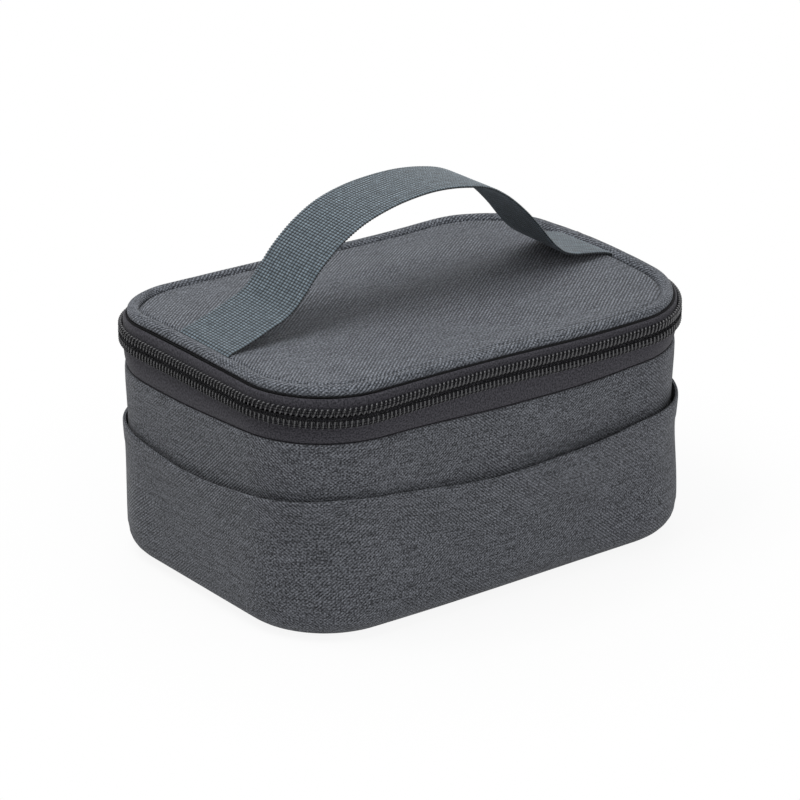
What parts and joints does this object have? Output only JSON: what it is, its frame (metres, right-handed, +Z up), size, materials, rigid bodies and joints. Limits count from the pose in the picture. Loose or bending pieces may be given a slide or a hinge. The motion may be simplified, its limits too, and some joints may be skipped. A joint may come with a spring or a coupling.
{
  "type": "insulated lunch bag",
  "caption": "Soft-sided insulated lunch bag: a rounded cloth tub with a wrap-round sleeve pocket, a zipped hinged lid with a rolled edge, and an arched webbing handle on top.",
  "frame": {"origin": "centre of the flat underside, on the surface that the bag stands on", "axes": "+X along the long side, -Y towards the front, which is the long side opposite the cloth hinge, +Z up"},
  "size_m": [0.2482, 0.175, 0.175],
  "materials": {
    "cloth": "matte",
    "webbing": "matte",
    "tape": "matte",
    "coil": "gloss",
    "liner": "satin",
    "foam": "matte",
    "slider_metal": "satin"
  },
  "bodies": {
    "tub": {"wall_panel": "cloth", "bottom_panel": "cloth", "pocket_band": "cloth", "foam_base": "foam", "foam_wall": "foam", "liner_tub": "liner", "rim_binding": "tape", "zip_tape_lower": "tape", "zip_coil_lower": "coil", "hinge_strip_lower": "cloth"},
    "lid": {"lid_top_panel": "cloth", "lid_piping": "cloth", "lid_foam": "foam", "lid_liner": "liner", "lid_binding": "tape", "zip_tape_upper": "tape", "zip_coil_upper": "coil", "hinge_strip_upper": "cloth", "handle_strap": "webbing"},
    "slider": {"slider_body": "slider_metal"},
    "pull": {"slider_pull": "slider_metal"}
  },
  "joints": [
    {"name": "lid_hinge", "type": "hinge", "parent": "tub", "child": "lid", "pos_m": [0, 0.0878, 0.109], "axis": [-1, 0, 0], "range_deg": [0, 170]},
    {"name": "zip_slide", "type": "slide", "parent": "tub", "child": "slider", "axis": [0, -1, 0], "range_m": [0, 0.056]},
    {"name": "pull_swing", "type": "hinge", "parent": "slider", "child": "pull", "pos_m": [0.1243, 0.028, 0.109], "axis": [1, 0, 0], "range_deg": [-25, 85]}
  ]
}
